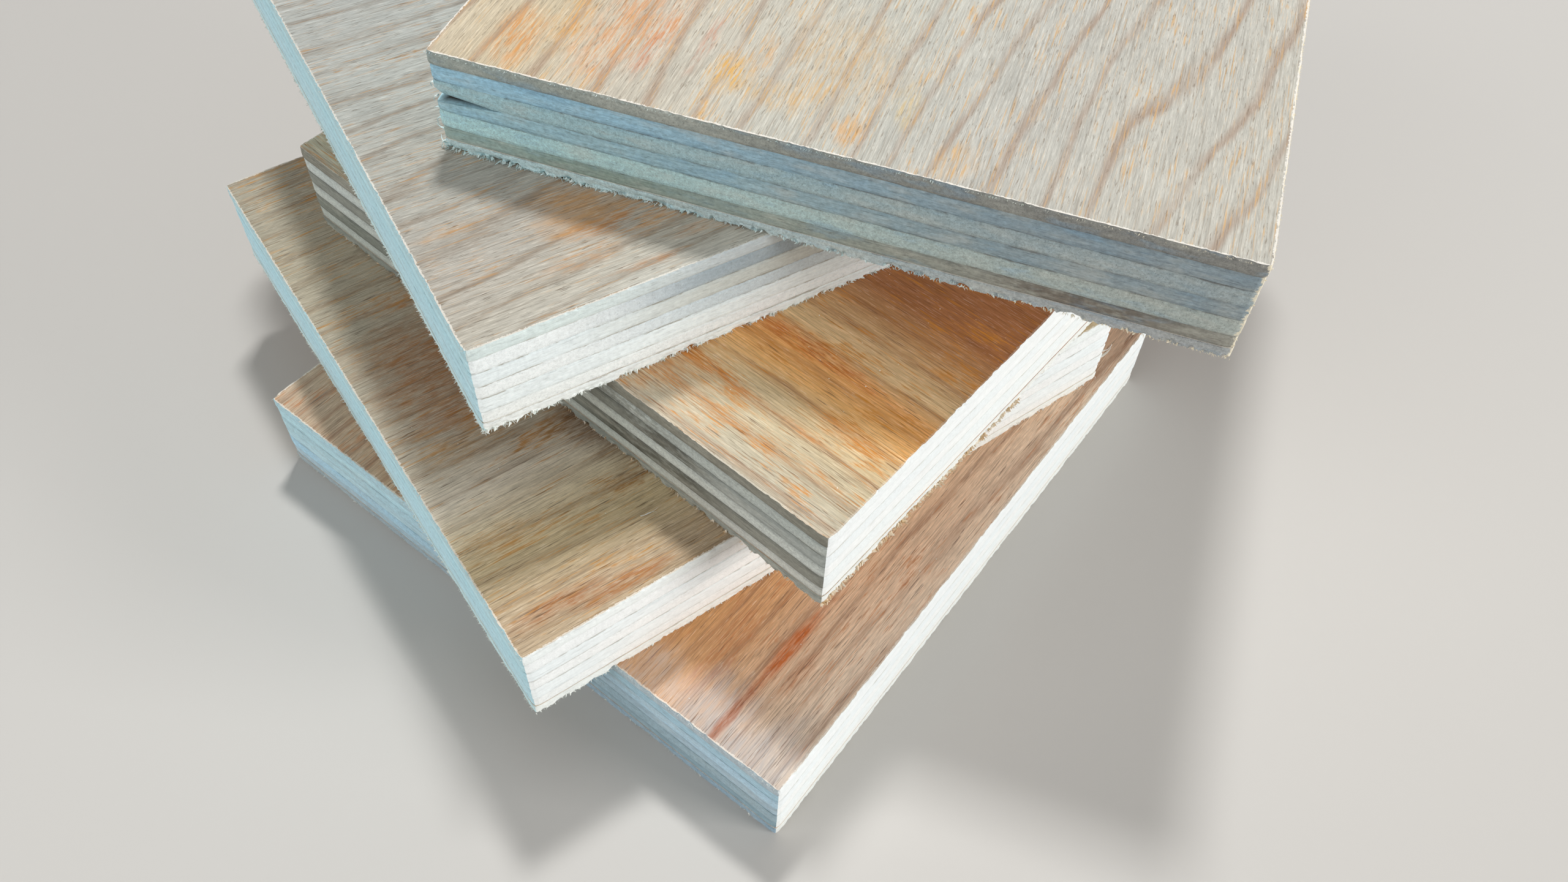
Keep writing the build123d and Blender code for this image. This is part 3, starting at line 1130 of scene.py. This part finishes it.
def top_sheet() -> Sheet:
    """Return the top sheet: pale ash-like face, front cut painted blue-grey as a cast of shade, torn at the left."""
    face = FaceLook(
        ((0.0, "#CCBFA6"), (0.10, "#CCBDA0"), (0.22, "#C8C0AF"), (0.5, "#C1C0B5"), (0.75, "#BDBBB2"),
         (1.0, "#C1BEB3")),
        band="#9A7A62", amber="#D9A65A", pore="#7C6852", spacing_mm=7.0, slant=0.24, wander_mm=2.9,
        band_start=0.66, band_strength=0.6, amber_share=0.29, streaks=0.55,
        patches=placed(
            (43, -41, 7, 4, "#D68F3F", 0.75), (36, -36, 9, 3, "#DCA450", 0.6), (40, -25, 7, 1.3, "#CB6E3E", 0.6),
            (37, -19, 8, 1.1, "#C5764E", 0.55), (40.5, -14, 3.5, 2.8, "#E6AC38", 0.75),
            (35.5, -11.5, 5, 1.8, "#DB9E48", 0.55), (42.5, -8.5, 3, 3.5, "#DDAA55", 0.5),
            (39, 6.8, 5, 1.8, "#D6B25F", 0.5), (45.3, 1.5, 2.6, 2.4, "#DD9F4B", 0.55),
            (46.5, 14.5, 3.5, 2.6, "#DAA658", 0.45), (36, -29, 12, 7, "#D98F4A", 0.6),
            (33, -2, 12, 9, "#D9A95C", 0.38)))
    return Sheet(
        "top_sheet", 71.5, Grain.ALONG_X, face, right=FRONT_SHADE_CUT, left=COOL_SHADE_CUT,
        fringes=arris_fuzz(Side.RIGHT, Side.FAR_RIGHT) + torn_edge(Side.RIGHT, 0.0, 0.26, 7.0, 1.0, 1.2, 0.2)
        + torn_edge(Side.RIGHT, 0.26, 1.0, 4.0, 0.45) + torn_edge(Side.LEFT, 0.0, 1.0, 3.0, 0.8),
        # Painted blue cast of shade: the fibres' blue-white tones; their far tone is their own cream.
        tear_mm=0.95, arris=0.8, fibre_tones=("#BFD8D8", "#E6F3F1"), far_fibre_tone="#F3E9D0", corner_fray=0.9,
        slivers=RIGHT_CORNER_SLIVERS + (
            Sliver((49.4, -49.6, 10.2), (-0.2, -1.0, 0.3), 1.7, 0.28, 130.0, (1.0, 0.0, 0.0)),
            Sliver((49.4, -49.6, 8.2), (0.0, -1.0, -0.1), 1.4, 0.30, 90.0, (1.0, 0.0, 0.0)),
            Sliver((49.4, -49.6, 6.4), (0.1, -1.0, 0.3), 1.2, 0.26, 80.0, (1.0, 0.1, 0.0)),
            Sliver((49.4, -49.6, 4.8), (0.1, -1.0, 0.2), 1.8, 0.28, 130.0, (1.0, 0.1, 0.0)),
            Sliver((49.4, -49.6, 3.0), (0.0, -1.0, -0.3), 1.3, 0.26, -70.0, (1.0, 0.1, 0.0)),
            Sliver((49.5, -49.5, 1.2), (0.1, -1.0, 0.1), 2.6, 0.30, 160.0, (1.0, 0.0, 0.2)),
            Sliver((49.6, -49.2, 0.7), (0.5, -1.0, -0.1), 2.0, 0.26, -100.0, (0.6, 0.0, 1.0))))


def second_sheet() -> Sheet:
    """Return the second sheet: grey-beige face with wavy brown bands, torn under the right side."""
    face = FaceLook(
        ((0.0, "#B6B9B4"), (0.35, "#BBBDB7"), (0.5, "#B9BBB4"), (0.64, "#ACABA2"), (0.8, "#B1ABA0"),
         (0.9, "#BCB6A8"), (1.0, "#C4C1B6")),
        band="#7A6248", amber="#BE8A46", pore="#6A5A46", pore_length_mm=2.6, spacing_mm=5.6, slant=0.15,
        wander_mm=3.2, band_start=0.6, band_strength=0.5, amber_share=0.3, streaks=0.7,
        patches=placed(
            (39, -22, 4, 8, "#C78A42", 0.6), (32, -27, 3, 7, "#BF8546", 0.45), (43, -33, 1.5, 6, "#C58C50", 0.45),
            (38.5, -27.5, 1.6, 5, "#B4712E", 0.7), (31, -45, 1, 6, "#BC8A4C", 0.6), (47, -26, 1.1, 7, "#BE8246", 0.6),
            (44.5, -17, 1.3, 6, "#BE8246", 0.5), (34.5, -29, 5, 6.5, "#C6945C", 0.75, 0.55)))
    return Sheet(
        "second_sheet", 22.0, Grain.ALONG_Y, face, right=SHADED_CUT, left=COOL_SHADE_CUT,
        fringes=arris_fuzz(Side.LEFT) + torn_edge(Side.RIGHT, 0.0, 1.0, 5.0, 0.65, 0.9, 0.20)
        + torn_edge(Side.LEFT, 0.0, 1.0, 5.0, 0.5),
        tear_mm=0.5, fibre_tones=("#DDE6E0", "#F4F6F0"))


def third_sheet() -> Sheet:
    """Return the third sheet: tan face with an orange streak and a red-brown rear, striped left cut."""
    face = FaceLook(
        ((0.0, "#C4BAA4"), (0.06, "#CABD9F"), (0.12, "#D8BE92"), (0.16, "#EBB470"), (0.20, "#EEAC66"),
         (0.24, "#E8C694"), (0.30, "#CB9B69"), (0.36, "#AF7346"), (1.0, "#A4643A")),
        band="#9A5E2C", amber="#D68C2C", pore="#6F4222", pore_length_mm=4.5, spacing_mm=4.4, slant=0.0,
        wander_mm=1.6, band_start=0.5, band_strength=0.4, amber_share=0.42, streaks=0.7,
        patches=placed(
            (4, -37, 22, 19, "#CF9250", 0.8, 0.5), (7, -39, 16, 14, "#BC7836", 0.8),
            (24, -40, 12, 1.2, "#D2802A", 0.7), (36, -44, 6, 1.4, "#CE8838", 0.6), (37, -40, 5, 1, "#CF8028", 0.7),
            (28, -44.6, 9, 1, "#CC822A", 0.7), (41.5, -36.5, 6, 1.5, "#D2842C", 0.7),
            (43, -43.6, 4, 1.4, "#D28A38", 0.7), (30, -29, 14, 1.6, "#C86A24", 0.7), (14, -45, 10, 3, "#C68848", 0.5)))
    return Sheet(
        "third_sheet", 3.0, Grain.ALONG_X, face, right=WHITE_LIT_CUT, left=STRIPED_CUT,
        fringes=torn_edge(Side.RIGHT, 0.0, 0.44, 4.0, 0.95, 5.2, 0.25) + torn_edge(Side.LEFT, 0.0, 1.0, 2.0, 0.3),
        tear_mm=0.9, arris=0.25, fibre_tones=("#DDBE93", "#F2E9D8"),
        crumbs=Crumbs((20.0, -47.0), (48.0, -8.0), 26))


def fourth_sheet() -> Sheet:
    """Return the fourth sheet: grey-brown and amber face, with a hair-like splinter lying on it."""
    face = FaceLook(
        # Painted light: the pale zones at 0.77 and 0.84 lift a cast shadow that falls across them.
        ((0.0, "#AFA896"), (0.25, "#B6AD97"), (0.5, "#B7AE9A"), (0.7, "#C0B6A2"), (0.77, "#E0D6C2"),
         (0.84, "#E2D3B2"), (0.9, "#CDBA92"), (1.0, "#C0AA8C")),
        band="#80603C", amber="#C68E42", pore="#5A4630", pore_length_mm=5.0, spacing_mm=5.4, slant=-0.1,
        wander_mm=2.4, band_start=0.55, band_strength=0.38, amber_share=0.38, streaks=0.7,
        patches=placed(
            # The patch at (24, -24.5) is a painted shadow of the third sheet.
            (3, -38, 15, 12, "#A66E3A", 0.8, 0.3), (24, -24.5, 10, 5.5, "#6A4A2C", 0.85, 0.6),
            (45.5, -43, 1.6, 8, "#A4642F", 0.8, 0.35), (47.4, -34, 1.3, 8, "#AA6A32", 0.8, 0.35),
            (33, -44, 3, 6, "#C08C44", 0.5), (17, -41, 3, 7, "#BC8A44", 0.5)))
    return Sheet(
        "fourth_sheet", 17.0, Grain.ALONG_Y, face, right=PALE_LIT_CUT, left=COOL_SHADE_CUT,
        fringes=arris_fuzz(Side.LEFT, per_mm=4.0) + torn_edge(Side.LEFT, 0.0, 1.0, 5.0, 0.5)
        + torn_edge(Side.RIGHT, 0.0, 1.0, 2.5, 0.35),
        tear_mm=0.4, fibre_tones=("#D9DFD8", "#F4F5EF"),
        slivers=(Sliver((40.2, -27.6, 15.28), (0.5, 1.0, 0.05), 2.6, 0.08, 40.0),
                 Sliver((40.4, -27.0, 15.28), (-0.2, 1.0, 0.1), 1.6, 0.07, -60.0),
                 Sliver((49.3, 49.5, 5.2), (0.5, 1.0, 0.3), 3.0, 0.30, 110.0, (1.0, 0.0, 0.3)),
                 Sliver((49.4, 49.4, 6.8), (0.8, 0.8, 0.2), 2.0, 0.22, -110.0, (0.0, 1.0, 0.2))),
        crumbs=Crumbs((5.0, -48.0), (46.0, -20.0), 10, 0.12))


def bottom_sheet() -> Sheet:
    """Return the bottom sheet: pink-brown face with one orange-red streak."""
    face = FaceLook(
        ((0.0, "#C6AE94"), (0.6, "#CFA67F"), (0.75, "#D0985F"), (0.84, "#D8A576"), (0.92, "#E6C3A3"),
         (1.0, "#E8D1B9")),
        band="#8E5F42", amber="#C68250", pore="#5F4230", pore_length_mm=5.0, spacing_mm=3.9, slant=-0.05,
        wander_mm=1.6, band_start=0.45, band_strength=0.5, amber_share=0.34, streaks=0.65,
        patches=placed(
            (30, -50, 14, 8, "#CDB9AA", 0.7, 0.5), (44, -50, 13, 9, "#BAB4B0", 0.85, 0.7),
            (38.3, -33, 1.2, 11, "#C7641E", 0.95, 0.6), (38, -47, 0.8, 9, "#A35A30", 0.85, 0.6),
            (41.5, -37, 1.2, 5, "#B5682E", 0.6, 0.3), (31, -40, 2.5, 8, "#BE733E", 0.5),
            (37, -6, 1.2, 14, "#BC6C40", 0.45)))
    return Sheet(
        "bottom_sheet", 0.0, Grain.ALONG_Y, face, right=WHITE_LIT_CUT, left=LOW_SHADE_CUT,
        fringes=arris_fuzz(Side.LEFT, per_mm=4.0) + torn_edge(Side.LEFT, 0.0, 1.0, 1.5, 0.25),
        tear_mm=0.25, fibre_tones=("#DCE3DC", "#F4F5EF"), crumbs=Crumbs((25.0, -48.0), (48.0, 0.0), 12, 0.12))


def plywood_sheets() -> list[Sheet]:
    """Return the five sheets with their looks, from the top one down."""
    return [top_sheet(), second_sheet(), third_sheet(), fourth_sheet(), bottom_sheet()]


def main() -> None:
    """Build the stack and the studio."""
    logging.basicConfig(level=logging.INFO)
    PlywoodStack(plywood_sheets()).build()
    Studio().build()


if __name__ == "__main__":
    main()
